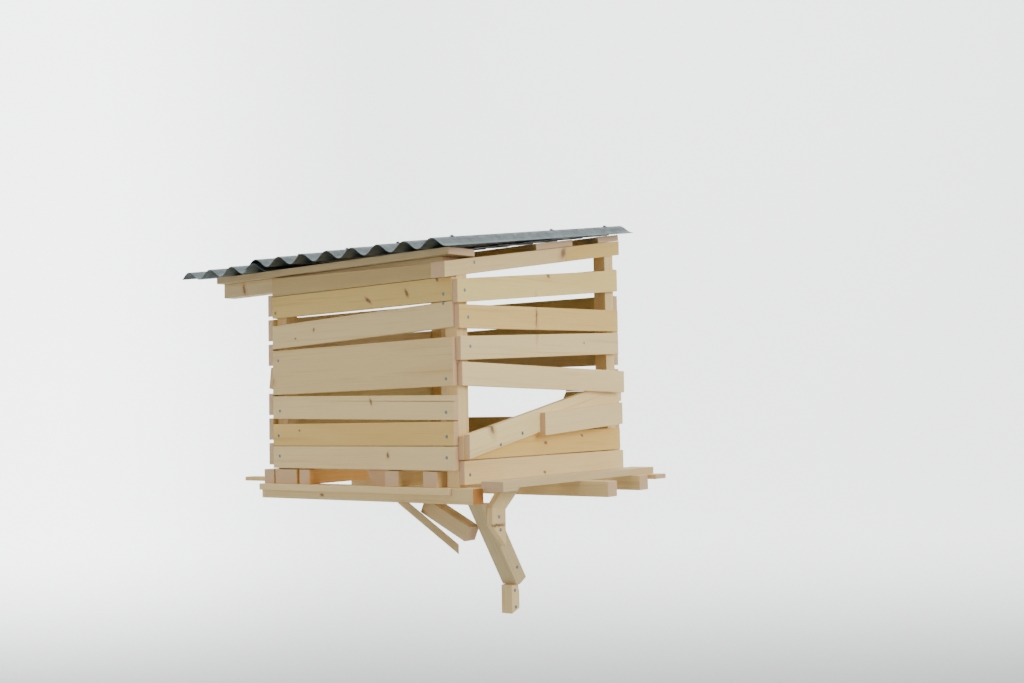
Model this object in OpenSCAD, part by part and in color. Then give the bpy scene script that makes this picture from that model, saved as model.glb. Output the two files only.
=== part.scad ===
// Small crooked tree house of square battens and thin boards under a corrugated sheet roof.
// X runs along the front wall to the right, Y back along the right wall, Z up.
// The origin lies on the flat left face of the lowest cleat, which carries the whole house.

/* [Timber] */
// Width of a wall board
board_w = 48; // [46:0.5:50]
// Thickness of a wall board
board_t = 14; // [13:0.5:15]
// Side of the square battens that make posts, joists and plates
batten = 32; // [31:0.5:34]
// Width of the heavier battens that make the rafters and the long brace
rafter_w = 38; // [36:1:42]
// Width of the broad board in the front wall
broad_w = 98; // [96:0.5:100]
// Width of the board above the broad one
upper_w = 52; // [50:0.5:54]
// Width of the split board
split_w = 50; // [48:0.5:52]

/* [Cabin] */
// Length of the front wall, between the outer faces of its corner posts
cabin_x = 542; // [530:1:560]
// Depth of the cabin, between the outer faces of its corner posts
cabin_y = 540; // [530:1:560]
// Rise of the front plate's underside over the right rafter's near end
plate_rise = 13; // [11:0.5:16]
// Slope of the right rafter, rising to the back
rafter_pitch = 8.3; // [7.8:0.1:8.8]

/* [Front wall] */
// Gaps under the six front boards at their left ends, from the bottom
front_gaps_left = [35, 1, 12, 3, 4, 17]; // [0:0.5:40]
// Gaps under the six front boards at their right ends, from the bottom
front_gaps_right = [35, 2, 3, 19, 20, 1]; // [0:0.5:40]
// Drop from the plate's top to the tapered board's upper edge, left end
taper_drop_left = 3; // [1:0.5:6]
// Drop from the plate's top to the tapered board's upper edge, right end
taper_drop_right = 14; // [8:0.5:18]
// Depth of the split in the split board
split_depth = 5; // [3:0.5:8]

/* [Right wall] */
// Gaps under the five level boards at their near ends, from the bottom
right_gaps_near = [6, 2, 152, 16, 3]; // [0:1:160]
// Gaps under the five level boards at their far ends, from the bottom
right_gaps_far = [12, 2, 169, 3, 44]; // [0:1:180]
// Gap over the propped board at its near end
prop_gap_near = 3; // [1:0.5:5]
// Gap over the propped board at its far end
prop_gap_far = 41; // [36:1:46]
// Rise of the slanted board's near end over the low boards
slant_rise = 3; // [1:0.5:6]
// Slope of the slanted board under the window
slant_pitch = 12.3; // [11.8:0.1:12.6]
// Distance from the front to the near end of the short outer board
short_start = 242; // [236:1:248]
// Rise of the short board's near end over the low boards
short_rise = 44; // [40:1:48]
// Slope of the short outer board
short_pitch = 4; // [3:0.5:5]

/* [Platform] */
// Slope of the platform, rising to the back
floor_pitch = 1; // [0.8:0.1:1.2]
// Reach of the front joist past the right wall
joist_front_reach = 34; // [33:1:38]
// Reach of the middle joist past the right wall
joist_middle_reach = 172; // [160:1:190]
// Reach of the back joist past the right wall
joist_back_reach = 120; // [112:1:134]
// Reach of the front joist past the left wall
joist_left_reach = 40; // [36:1:52]
// Distance from the front to the middle joist
joist_middle_y = 262; // [255:1:270]
// Distance from the front to the back joist
joist_back_y = 451; // [445:1:458]
// Width of the plank that runs outside the right wall
edge_plank_w = 57; // [54:1:62]

/* [Roof] */
// Distance from crest to crest of the corrugated sheet
sheet_pitch = 76; // [74:0.5:78]
// Depth of the corrugations
sheet_depth = 19; // [17:1:21]
// Thickness of the sheet metal
sheet_t = 1.2; // [1:0.1:1.6]
// Width of the roof along the front
sheet_x = 832; // [820:2:844]
// Length of the sheets from front to back
sheet_y = 650; // [630:5:670]
// Overhang of the sheets in front of the front wall
sheet_overhang = 40; // [36:1:46]
// Fall of the roof to the left
roof_fall = 0.9; // [0.8:0.1:1.1]
// Reach of the plate and the eave plank past the left wall
eave_reach = 184; // [170:2:200]
// Width of the eave planks
eave_plank_w = 80; // [76:1:84]

/* [Bracing] */
// Height of the lowest cleat
cleat_h = 58; // [54:1:62]
// Distance from the underside of the long brace's foot up to the platform
brace_drop = 201; // [196:1:206]
// Distance from the front to the foot of the long brace
brace_run = 132; // [126:1:138]
// Distance from the front to the head of the long brace, on the front joist's back edge
brace_head = 26; // [22:1:28]

/* [Hidden] */

joint = 1;                       // open joint between neighbouring boards
seat = 0.1;                      // clearance where a piece lies on a slope
rafter_gap = 0.5;                // clearance over the highest wall board
left_x = -board_t - cabin_x;     // outer face of the left posts
back_y = board_t + cabin_y;      // outer face of the back posts
inner_x = -board_t;              // inner face of the right wall's boards
rafter_x = inner_x - rafter_w;   // left side of the right rafter
post_foot = batten + board_t;    // top of the floor boards
cleat_x = 2;                     // flat mounting face of the cleat
cleat_y = 120;                   // near face of the cleat
cleat_w = 28;                    // width of the cleat along the front
cleat_t = 24;                    // and from front to back
passage_x = [-132, -40];         // square passage through the floor
passage_y = [62, 154];
bearer_gap = 6;                  // from the bearers' ends to that passage
bearer_length = 530;
bearer_left_x = -471;            // left sides of the bearers
bearer_middle_x = -208;
bearer_stub_x = -100;
bearer_right_x = -80;
outer_x = left_x - batten + 1;   // left side of the outermost bearer
joist_hidden_reach = 25;         // reach of the two rear joists past the left wall
edge_x = 43;                     // left side of the edge plank
edge_y = 15;                     // near end of the edge plank
edge_length = 520;
rafter_end = 580;                // back ends of the rafters
rafter_start = -20;              // near end of the right rafter
eave_y = -8;                     // near edge of the plank under the sheet's front edge
middle_plank_y = 275;            // near edges of the planks across the rafters
back_plank_y = 500;
middle_plank_w = 130;
sheet_edge = 28;                 // reach of the roof past the planks' right ends, to a trough
right_waves = 8;                 // corrugations of the right sheet, whose last lies over the left one
lap_mismatch = 9;                // how far the left sheet's corrugations are out of step with them
lap_gap = 0.5;                   // clearance between the two sheets
brace_post_y = [41, 83];         // near and far edge of the upright board
brace_post_head = [-38, -45];    // its mitred head, at those edges
brace_post_foot = [-75, -118];   // its foot, cut to a slope
slant_start = board_t + 2;       // ends of the slanted board
slant_stop = back_y - board_t - 2;
back_gaps_left = [42, 2, 8, 1, 9, 1, 15, 15];    // gaps under the back boards, from the bottom
back_gaps_right = [41, 1, 10, 1, 9, 8, 7, 13];
back_low_rows = 2;               // back boards below the opening
back_short_rows = 2;             // and beside it
right_starts = [15, 13, 9, 6, 2];    // near ends of the level right boards, from the bottom
right_overhangs = [7, -4, -4, -4, -4];    // their reach past the back posts

// Widths of the front boards, from the bottom
front_widths = [board_w, board_w, split_w, broad_w, upper_w, board_w];
right_widths = [for (gap = right_gaps_near) board_w];
back_widths = [for (gap = back_gaps_left) board_w];

// Height of a board's upper edge in a stack of gaps and boards
function stacked(gaps, widths, row) =
    row < 0 ? 0 : gaps[row] + widths[row] + stacked(gaps, widths, row - 1);
function front_left(row) = stacked(front_gaps_left, front_widths, row);
function front_right(row) = stacked(front_gaps_right, front_widths, row);
function right_near(row) = stacked(right_gaps_near, right_widths, row);
function right_far(row) = stacked(right_gaps_far, right_widths, row);
function back_left(row) = stacked(back_gaps_left, back_widths, row);
function back_right(row) = stacked(back_gaps_right, back_widths, row);

// Height of a line that rises with y, above its height at the front
function rise(y, pitch) = y * tan(pitch);

// The roof clears the highest corner of the walls
front_height = front_right(len(front_widths) - 1);
right_height = right_near(len(right_widths) - 1);
back_height = max(
    back_right(len(back_widths) - 1),
    back_left(len(back_widths) - 1) + (rafter_x - left_x) * tan(roof_fall)
) - rise(back_y, rafter_pitch);
rafter_foot = max(front_height, right_height, back_height) + rafter_gap;
plate_foot = rafter_foot + plate_rise;
function rafter_under(y) = rafter_foot + rise(y, rafter_pitch);
function left_rafter_under(y) = rafter_under(y) - (rafter_x - left_x) * tan(roof_fall);
function floor_top(y, height) = height / cos(floor_pitch) + rise(y, floor_pitch);
function plate_under(x) = plate_foot + x * tan(roof_fall);
function slant_top(y) = right_near(1) + slant_rise + rise(y - slant_start, slant_pitch);

// Everything is placed from the outer near corner, at the top of the front joist
module at_corner() {
    translate([-cleat_x, -cleat_y - cleat_t / 2, brace_drop + cleat_h / 2])
        children();
}

// Carries what lies on the sloping platform
module on_floor() {
    at_corner()
        rotate([floor_pitch, 0, 0])
            children();
}

// Extrudes an outline given as [x, z] points along Y
module front_profile(y, width, points) {
    at_corner()
        translate([0, y + width, 0])
            rotate([90, 0, 0])
                linear_extrude(width)
                    polygon(points);
}

// Extrudes an outline given as [y, z] points along X
module side_profile(x, width, points) {
    at_corner()
        translate([x + width, 0, 0])
            rotate([90, 0, -90])
                linear_extrude(width)
                    polygon([for (point = points) [-point[0], point[1]]]);
}

// A board along X with plumb ends, between two end heights of its upper edge
module board_along_x(start, stop, start_top, stop_top, width, y) {
    front_profile(y, board_t, [
        [start, start_top - width],
        [stop, stop_top - width],
        [stop, stop_top],
        [start, start_top]
    ]);
}

// A board along Y with plumb ends, its inner face at x
module board_along_y(start, stop, start_top, stop_top, width, x) {
    side_profile(x, board_t, [
        [start, start_top - width],
        [stop, stop_top - width],
        [stop, stop_top],
        [start, start_top]
    ]);
}

module joist(y, left_reach, right_reach) {
    on_floor()
        translate([left_x - left_reach, y, -batten])
            cube([left_reach - left_x + right_reach, batten, batten]);
}

module joist_front() {
    color("wheat")
        joist(0, joist_left_reach, joist_front_reach);
}

module joist_middle() {
    color("wheat")
        joist(joist_middle_y, joist_hidden_reach, joist_middle_reach);
}

module joist_back() {
    color("wheat")
        joist(joist_back_y, joist_hidden_reach, joist_back_reach);
}

// Thin lath on the upper half of the front joist
module joist_lath() {
    lath_t = 8;
    lath_right = -22;
    color("cornsilk")
        on_floor()
            translate([left_x - joist_left_reach, -lath_t, -board_t])
                cube([joist_left_reach - left_x + lath_right, lath_t, board_t]);
}

module bearer(x, y, width, length) {
    color("tan")
        on_floor()
            translate([x, y, 0])
                cube([width, length, batten]);
}

// Outermost bearer and the block that fills up to the next one
module bearer_outer() {
    block_gap = 5;
    block_w = 70;
    bearer(outer_x, 0, batten, bearer_length);
    bearer(outer_x + batten + block_gap, 0, block_w, batten);
}

module bearer_left() {
    bearer(bearer_left_x, 0, batten, bearer_length);
}

module bearer_middle() {
    bearer(bearer_middle_x, 0, rafter_w, bearer_length);
}

// Short bearer in front of the passage, and an offcut with a slanted end
module bearer_stub() {
    offcut_foot = 50;
    offcut_head = 69;
    stop = bearer_middle_x - joint;
    bearer(bearer_stub_x, 0, rafter_w, passage_y[0] - bearer_gap);
    color("wheat")
        on_floor()
            translate([stop, joint + board_t + batten, 0])
                rotate([90, 0, 0])
                    linear_extrude(batten)
                        polygon([
                            [-offcut_foot, 0],
                            [0, 0],
                            [0, batten],
                            [-offcut_head, batten]
                        ]);
}

// Bearer that starts behind the passage
module bearer_right() {
    start = passage_y[1] + bearer_gap;
    bearer(bearer_right_x, start, batten, bearer_length - start);
}

module floor_board(start, stop, y, width) {
    on_floor()
        translate([start, y, batten])
            cube([stop - start, width, board_t]);
}

// The board under the front left post and the boards cut short beside the passage
module floor_front() {
    rows = 2;
    front_y = board_t + joint;
    depth = (passage_y[1] - passage_y[0]) / rows;
    color("burlywood") {
        floor_board(left_x, inner_x - batten - joint, front_y, passage_y[0] - front_y - joint);
        for (row = [0 : rows - 1]) {
            floor_board(left_x, passage_x[0], passage_y[0] + row * depth, depth - joint);
            floor_board(passage_x[1], inner_x, passage_y[0] + row * depth, depth - joint);
        }
    }
}

module floor_back() {
    rows = 8;
    depth = (back_y - passage_y[1]) / rows;
    color("burlywood")
        for (row = [0 : rows - 1])
            floor_board(left_x, inner_x, passage_y[1] + row * depth, depth - joint);
}

module edge_plank() {
    color("moccasin")
        on_floor()
            translate([edge_x, edge_y, 0])
                cube([edge_plank_w, edge_length, board_t]);
}

// Thin packing under the near end of the edge plank
module edge_shim() {
    shim_t = 6;
    shim_length = 47;
    inset = 10;
    color("wheat")
        on_floor()
            translate([edge_x + inset, edge_y, -shim_t])
                cube([edge_plank_w - inset, shim_length, shim_t]);
}

// Lath end that sticks out at the left of the outermost bearer
module lath_left() {
    reach = 95;
    near = 24;
    foot = 3;
    lath_w = 30;
    lath_t = 9;
    color("wheat")
        on_floor()
            translate([outer_x - reach, near, foot])
                cube([reach, lath_w, lath_t]);
}

// Lath under the bearers, behind the back joist
module lath_back() {
    lath_t = 10;
    lath_w = 40;
    inset = 2;
    left = -90;
    right = 137;
    color("wheat")
        on_floor()
            translate([left, bearer_length - lath_w - inset, -lath_t])
                cube([right - left, lath_w, lath_t]);
}

module post_near() {
    near = board_t;
    far = near + batten;
    color("bisque")
        side_profile(inner_x - batten, batten, [
            [near, floor_top(near, 0)],
            [near, rafter_under(near) - seat],
            [far, rafter_under(far) - seat],
            [far, floor_top(far, 0)]
        ]);
}

module post_left() {
    near = board_t;
    far = near + batten;
    color("bisque")
        side_profile(left_x, batten, [
            [near, floor_top(near, post_foot) + seat],
            [near, plate_under(left_x)],
            [far, plate_under(left_x)],
            [far, floor_top(far, post_foot) + seat]
        ]);
}

module post_back() {
    near = back_y - batten;
    color("bisque")
        side_profile(left_x, batten, [
            [near, floor_top(near, post_foot)],
            [near, left_rafter_under(near) - seat],
            [back_y, left_rafter_under(back_y) - seat],
            [back_y, floor_top(back_y, post_foot)]
        ]);
}

module post_far() {
    near = back_y - batten;
    color("bisque")
        side_profile(inner_x - batten, batten, [
            [near, floor_top(near, post_foot)],
            [near, rafter_under(near) - seat],
            [back_y, rafter_under(back_y) - seat],
            [back_y, floor_top(back_y, post_foot)]
        ]);
}

module front_row(row) {
    color("navajowhite")
        board_along_x(left_x, inner_x, front_left(row), front_right(row), front_widths[row], 0);
}

module front_boards_low() {
    for (row = [0 : 1])
        front_row(row);
}

// Board that is split along the grain, from its right end to a knot and beyond
module front_board_split() {
    split_drop = 12;
    split_mouth = 1.4;
    split_length = 430;
    difference() {
        front_row(2);
        front_profile(-joint, joint + split_depth, [
            [inner_x + joint, front_right(2) - split_drop],
            [inner_x - split_length, front_left(2) - split_drop],
            [inner_x + joint, front_right(2) - split_drop - split_mouth]
        ]);
    }
}

module front_board_broad() {
    front_row(3);
}

module front_boards_top() {
    for (row = [4 : 5])
        front_row(row);
}

// Board ripped to a taper, over the front plate
module front_taper() {
    stop = rafter_x - joint;
    top_row = len(front_widths) - 1;
    top_board_rise = front_right(top_row) - front_left(top_row);
    left_foot = front_left(top_row) + joint;
    color("tan")
        front_profile(0, board_t, [
            [left_x, left_foot],
            [stop, left_foot + top_board_rise * (stop - left_x) / cabin_x],
            [stop, plate_under(stop) + batten - taper_drop_right],
            [left_x, plate_under(left_x) + batten - taper_drop_left]
        ]);
}

module right_row(row) {
    color("navajowhite")
        board_along_y(right_starts[row], back_y + right_overhangs[row],
            right_near(row), right_far(row), board_w, inner_x);
}

module right_boards_low() {
    for (row = [0 : 1])
        right_row(row);
}

module right_boards_top() {
    for (row = [2 : 4])
        right_row(row);
}

// Board over the window: it lies on the near post and on the slanted board
module right_prop() {
    start = board_t;
    stop = back_y - batten;
    near_top = right_near(2) - board_w - prop_gap_near;
    far_top = right_far(2) - board_w - prop_gap_far;
    fall = (near_top - far_top) / (stop - start);
    // y at which its lower edge crosses the slanted board's upper edge
    meet = start + (near_top - board_w - slant_top(start)) / (tan(slant_pitch) + fall);
    swing = atan((board_t - inner_x + seat) / (meet - start));
    color("cornsilk")
        at_corner()
            translate([inner_x, start, 0])
                rotate([0, 0, -swing])
                    translate([board_t, 0, 0])
                        rotate([90, 0, -90])
                            linear_extrude(board_t)
                                polygon([
                                    [0, near_top - board_w],
                                    [0, near_top],
                                    [start - stop, far_top],
                                    [start - stop, far_top - board_w]
                                ]);
}

// Slanted board under the window, in a second layer
module right_slant() {
    color("moccasin")
        board_along_y(slant_start, slant_stop, slant_top(slant_start), slant_top(slant_stop),
            board_w / cos(slant_pitch), 0);
}

// Short board in a third layer
module right_short() {
    start_top = right_near(1) + short_rise;
    stop = back_y - batten;
    color("cornsilk")
        board_along_y(short_start, stop, start_top,
            start_top + rise(stop - short_start, short_pitch), board_w, board_t);
}

// Block between the far post and the slanted board
module packing() {
    inset = 6;
    color("tan")
        at_corner()
            translate([inner_x, back_y - batten, slant_top(slant_stop) - board_w + inset])
                cube([board_t, board_t, board_w - 2 * inset]);
}

// Left wall, its rows fanned out to the back, one of them lapped over the next below
module left_boards() {
    rows = 7;
    lapped_row = 3;
    lap = 13;
    under_plate = 8;
    stop = back_y - 2;
    foot = front_gaps_left[0];
    near_spacing = (plate_under(left_x - board_t) - under_plate - foot) / rows;
    far_spacing = (left_rafter_under(stop) - foot) / rows - joint;
    near_top = [for (row = [1 : rows]) foot + row * near_spacing];
    far_top = [for (row = [1 : rows]) foot + row * far_spacing];
    color("navajowhite")
        for (row = [0 : rows - 1])
            if (row == lapped_row)
                at_corner()
                    translate([left_x - seat, 0, near_top[row]])
                        rotate([atan((far_top[row] - near_top[row]) / stop), 0, 0])
                            rotate([0, lap, 0])
                                translate([-board_t, board_t / 2, -board_w])
                                    cube([board_t, stop - 2 * board_t, board_w]);
            else
                board_along_y(0, stop, near_top[row], far_top[row], board_w,
                    left_x - board_t - seat);
}

module back_row(row) {
    color("navajowhite")
        board_along_x(left_x - board_t, inner_x, back_left(row), back_right(row), board_w, back_y);
}

// Boards over the back opening, with a slot left open under the rafters
module back_boards_top() {
    for (row = [back_low_rows + back_short_rows : len(back_widths) - 1])
        back_row(row);
}

// Boards below the back opening and the short ones beside it, with slanted ends
module back_boards_low() {
    short_x = [-183, -158];
    end_cut = 26;
    for (row = [0 : back_low_rows - 1])
        back_row(row);
    color("navajowhite")
        for (i = [0 : back_short_rows - 1]) {
            row = back_low_rows + i;
            front_profile(back_y, board_t, [
                [short_x[i], back_left(row) - board_w],
                [inner_x, back_right(row) - board_w],
                [inner_x, back_right(row)],
                [short_x[i] + end_cut, back_left(row)]
            ]);
        }
}

// Plate on the front left post, butted against the side of the right rafter
module plate_front() {
    start = left_x - eave_reach;
    color("tan")
        front_profile(board_t, batten, [
            [start, plate_under(start)],
            [rafter_x, plate_under(rafter_x)],
            [rafter_x, plate_under(rafter_x) + batten],
            [start, plate_under(start) + batten]
        ]);
}

module rafter(x, start, stop, foot) {
    depth = batten / cos(rafter_pitch);
    color("burlywood")
        side_profile(x, rafter_w, [
            [start, foot + rise(start, rafter_pitch)],
            [stop, foot + rise(stop, rafter_pitch)],
            [stop, foot + rise(stop, rafter_pitch) + depth],
            [start, foot + rise(start, rafter_pitch) + depth]
        ]);
}

// Two battens end to end over the right wall
module rafter_right() {
    break_y = 377;
    rafter(rafter_x, rafter_start, break_y, rafter_foot);
    rafter(rafter_x, break_y + joint / 4, rafter_end, rafter_foot);
}

// Rafter over the left wall, butted against the back of the plate
module rafter_left() {
    rafter(left_x, board_t + batten, rafter_end, left_rafter_under(0));
}

// Plank along the front, flat on the plate
module eave_plank_front() {
    start = left_x - eave_reach;
    color("cornsilk")
        front_profile(eave_y, eave_plank_w, [
            [start, plate_under(start) + batten],
            [inner_x, plate_under(inner_x) + batten],
            [inner_x, plate_under(inner_x) + post_foot],
            [start, plate_under(start) + post_foot]
        ]);
}

// Height of the rafters' tops at y, seen at the left side of the right rafter
function rafter_top(y) = rafter_under(y) + batten / cos(rafter_pitch);

// Plank across both rafters, with its near edge at y
module rafter_plank(y, width, overhang) {
    at_corner()
        translate([rafter_x, y, rafter_top(y) + seat])
            rotate([rafter_pitch, 0, 0])
                rotate([0, -roof_fall, 0])
                    translate([left_x - overhang - rafter_x, 0, 0])
                        cube([cabin_x + overhang, width, board_t]);
}

// Plank along the back under the sheet's edge, and a broader one half way up
module eave_plank_back() {
    overhang = 60;
    color("cornsilk") {
        rafter_plank(back_plank_y, eave_plank_w, overhang);
        rafter_plank(middle_plank_y, middle_plank_w, 0);
    }
}

// Corrugated sheet from its right edge, a trough, to the left; its left edge lies higher by lift
module corrugated(edge, width, lift) {
    facets = 12;
    steps = round(facets * width / sheet_pitch);
    run = [for (i = [0 : steps]) i * width / steps];
    wave = [for (x = run)
        (edge - x) * tan(roof_fall) + lift * x / width - sheet_depth / 2 * cos(360 * x / sheet_pitch)];
    under = [for (i = [0 : steps]) [edge - run[i], wave[i]]];
    upper = [for (i = [steps : -1 : 0]) [edge - run[i], wave[i] + sheet_t]];
    linear_extrude(sheet_y)
        polygon(concat(under, upper));
}

// Two sheets: the right one rides up on the left one, out of step with its corrugations
module roof_sheet() {
    back_edge = back_plank_y + eave_plank_w * cos(rafter_pitch);
    front_seat = plate_under(inner_x) + post_foot;
    back_seat = rafter_top(back_edge) + seat + board_t / cos(rafter_pitch)
        + rafter_w * tan(roof_fall);
    pitch = atan((back_seat - front_seat) / (back_edge - eave_y));
    lap_lift = sheet_depth * sin(180 * lap_mismatch / sheet_pitch) + sheet_t + lap_gap;
    lap_edge = sheet_edge - (right_waves - 1) * sheet_pitch - lap_mismatch;
    color("lightsteelblue")
        at_corner()
            translate([inner_x, eave_y, front_seat + seat + sheet_depth / 2 / cos(pitch)])
                rotate([pitch, 0, 0])
                    translate([0, sheet_y - sheet_overhang, 0])
                        rotate([90, 0, 0]) {
                            corrugated(sheet_edge, right_waves * sheet_pitch, lap_lift);
                            corrugated(lap_edge, lap_edge - sheet_edge + sheet_x, 0);
                        }
}

// Long brace from the back edge of the front joist down to the cleat, its foot cut square
module brace_long() {
    foot_flat = 8;
    slope = atan((brace_drop - batten) / (brace_run - brace_head));
    head_end = brace_head + batten / sin(slope);
    foot_end = brace_run + foot_flat;
    cut = batten - foot_flat * sin(slope);
    color("tan")
        side_profile(joist_front_reach - rafter_w, rafter_w, [
            [brace_head, floor_top(brace_head, -batten) - seat],
            [head_end, floor_top(head_end, -batten) - seat],
            [foot_end + cut * sin(slope), -brace_drop + cut * cos(slope)],
            [foot_end, -brace_drop],
            [brace_run, -brace_drop]
        ]);
}

// Upright board on the side of the long brace
module brace_post() {
    color("tan")
        side_profile(joist_front_reach, board_t, [
            [brace_post_y[0], brace_post_foot[0]],
            [brace_post_y[0], brace_post_head[0]],
            [brace_post_y[1], brace_post_head[1]],
            [brace_post_y[1], brace_post_foot[1]]
        ]);
}

// Kicker that leans out from the upright board to the edge plank
module brace_kick() {
    top_y = [77, 137];
    color("tan")
        side_profile(joist_front_reach, board_t, [
            [brace_post_y[0], brace_post_head[0]],
            [top_y[0], floor_top(top_y[0], 0)],
            [top_y[1], floor_top(top_y[1], 0)],
            [brace_post_y[1], brace_post_head[1]]
        ]);
}

// Thin strip from the front joist back and down, between the other braces
module brace_thin() {
    left = -178;
    near = 7;
    turn = 48;
    slope = 41;
    reach = 124;
    strip_w = 24;
    head = board_t / sin(slope);
    color("tan")
        at_corner()
            translate([left, near, -batten])
                rotate([90, 0, 90 - turn])
                    linear_extrude(strip_w)
                        polygon([
                            [0, 0],
                            [head, 0],
                            [reach, -rise(reach - head, slope)],
                            [reach, -rise(reach, slope)]
                        ]);
}

// Batten behind the front joist that slopes down to the right
module brace_thick() {
    left = -126;
    drop = 24;
    length = 132;
    slope = 25;
    color("tan")
        on_floor()
            translate([left, batten, -drop])
                rotate([0, slope, 0])
                    translate([0, 0, -batten])
                        cube([length, batten, batten]);
}

// Cleat that the whole house hangs by, with its ends cut to a slope behind
module cleat() {
    top = -brace_drop;
    foot = top - cleat_h;
    chamfer_y = 4;
    chamfer_top = 14;
    chamfer_foot = 10;
    color("bisque")
        side_profile(cleat_x, cleat_w, [
            [cleat_y, foot],
            [cleat_y, top],
            [cleat_y + cleat_t - chamfer_y, top],
            [cleat_y + cleat_t, top - chamfer_top],
            [cleat_y + cleat_t, foot + chamfer_foot]
        ]);
}

joist_front();
joist_middle();
joist_back();
joist_lath();
bearer_outer();
bearer_left();
bearer_middle();
bearer_stub();
bearer_right();
floor_front();
floor_back();
edge_plank();
edge_shim();
lath_left();
lath_back();
post_near();
post_left();
post_back();
post_far();
front_boards_top();
front_board_broad();
front_board_split();
front_boards_low();
front_taper();
right_boards_top();
right_boards_low();
right_prop();
right_slant();
right_short();
packing();
left_boards();
back_boards_top();
back_boards_low();
plate_front();
rafter_right();
rafter_left();
eave_plank_front();
eave_plank_back();
roof_sheet();
brace_long();
brace_post();
brace_kick();
brace_thin();
brace_thick();
cleat();
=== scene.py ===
import math
import random

import bpy
from mathutils import Euler, Matrix, Vector


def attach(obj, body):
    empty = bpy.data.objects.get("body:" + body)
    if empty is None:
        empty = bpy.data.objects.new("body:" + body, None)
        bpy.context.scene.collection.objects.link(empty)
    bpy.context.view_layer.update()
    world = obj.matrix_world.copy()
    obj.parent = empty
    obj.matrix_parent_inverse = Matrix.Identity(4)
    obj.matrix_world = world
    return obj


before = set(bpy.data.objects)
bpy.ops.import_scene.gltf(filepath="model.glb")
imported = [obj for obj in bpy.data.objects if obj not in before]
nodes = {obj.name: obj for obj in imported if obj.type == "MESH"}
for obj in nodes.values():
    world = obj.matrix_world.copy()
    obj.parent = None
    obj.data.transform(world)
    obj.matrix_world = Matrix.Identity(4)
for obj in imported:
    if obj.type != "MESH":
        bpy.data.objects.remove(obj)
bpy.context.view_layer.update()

print("frame loaded:", len(nodes), "nodes")

hutCorner = (-2, -132, 230)    # the hut's front right corner in the frame, mm


def hutPoint(u, v, w):
    # u runs right, v back and w up from the corner, in mm
    return Vector([(a + b) / 1000 for a, b in zip((u, v, w), hutCorner)])


def deselectAll():
    if bpy.context.object and bpy.context.object.mode != "OBJECT":
        bpy.ops.object.mode_set(mode="OBJECT")
    bpy.ops.object.select_all(action="DESELECT")


# helpers for material nodes

def newMaterial(name):
    mat = bpy.data.materials.new(name)
    mat.use_nodes = True
    tree = mat.node_tree
    tree.nodes.clear()
    out = tree.nodes.new("ShaderNodeOutputMaterial")
    shader = tree.nodes.new("ShaderNodeBsdfPrincipled")
    tree.links.new(shader.outputs["BSDF"], out.inputs["Surface"])
    return mat, tree, shader


def setInput(tree, node, key, value):
    if isinstance(value, bpy.types.NodeSocket):
        tree.links.new(value, node.inputs[key])
    else:
        node.inputs[key].default_value = value


def calc(tree, op, a, b=0.0, c=None):
    node = tree.nodes.new("ShaderNodeMath")
    node.operation = op
    setInput(tree, node, 0, a)
    setInput(tree, node, 1, b)
    if c is not None:
        setInput(tree, node, 2, c)
    return node.outputs[0]


def vecCalc(tree, op, a, b=None):
    node = tree.nodes.new("ShaderNodeVectorMath")
    node.operation = op
    setInput(tree, node, 0, a)
    if b is not None:
        setInput(tree, node, 1, b)
    return node.outputs["Value" if op in ("DOT_PRODUCT", "LENGTH") else "Vector"]


def noise(tree, vector, scale, detail=3.0, rough=0.5, output="Fac"):
    # one scale, or one for each axis
    if isinstance(scale, tuple):
        vector = vecCalc(tree, "MULTIPLY", vector, scale)
        scale = 1.0
    node = tree.nodes.new("ShaderNodeTexNoise")
    setInput(tree, node, "Vector", vector)
    node.inputs["Scale"].default_value = scale
    node.inputs["Detail"].default_value = detail
    node.inputs["Roughness"].default_value = rough
    return node.outputs[output]


def cellPattern(tree, vector, scale):
    # the cells' distances and three random numbers for each cell
    node = tree.nodes.new("ShaderNodeTexVoronoi")
    node.feature = "F1"
    setInput(tree, node, "Vector", vector)
    node.inputs["Scale"].default_value = scale
    drawn = tree.nodes.new("ShaderNodeSeparateColor")
    setInput(tree, drawn, 0, node.outputs["Color"])
    return node.outputs["Distance"], list(drawn.outputs)


def mapped(tree, vector, rotation, scale=(1, 1, 1), location=(0, 0, 0), kind="POINT"):
    node = tree.nodes.new("ShaderNodeMapping")
    node.vector_type = kind
    setInput(tree, node, "Vector", vector)
    node.inputs["Location"].default_value = location
    node.inputs["Rotation"].default_value = rotation
    node.inputs["Scale"].default_value = scale
    return node.outputs["Vector"]


def remap(tree, value, low, high, toLow=0.0, toHigh=1.0, smooth=True):
    node = tree.nodes.new("ShaderNodeMapRange")
    node.interpolation_type = "SMOOTHSTEP" if smooth else "LINEAR"
    setInput(tree, node, "Value", value)
    for key, number in (("From Min", low), ("From Max", high), ("To Min", toLow), ("To Max", toHigh)):
        setInput(tree, node, key, number)
    return node.outputs["Result"]


def blend(tree, factor, a, b, how="MIX"):
    node = tree.nodes.new("ShaderNodeMix")
    node.data_type = "RGBA"
    node.blend_type = how
    setInput(tree, node, 0, factor)
    setInput(tree, node, 6, a)
    setInput(tree, node, 7, b)
    return node.outputs[2]


def bumpNormal(tree, height, strength, distance):
    node = tree.nodes.new("ShaderNodeBump")
    node.inputs["Strength"].default_value = strength
    node.inputs["Distance"].default_value = distance
    setInput(tree, node, "Height", height)
    return node


# a tone multiplies a colour; on the pine copies the tone is partly the wood's own colour and partly painted
# light and shade
def opaque(colour, toneAndShade=(1, 1, 1)):
    return tuple(a * b for a, b in zip(colour, toneAndShade)) + (1,)


# raw pine

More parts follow.
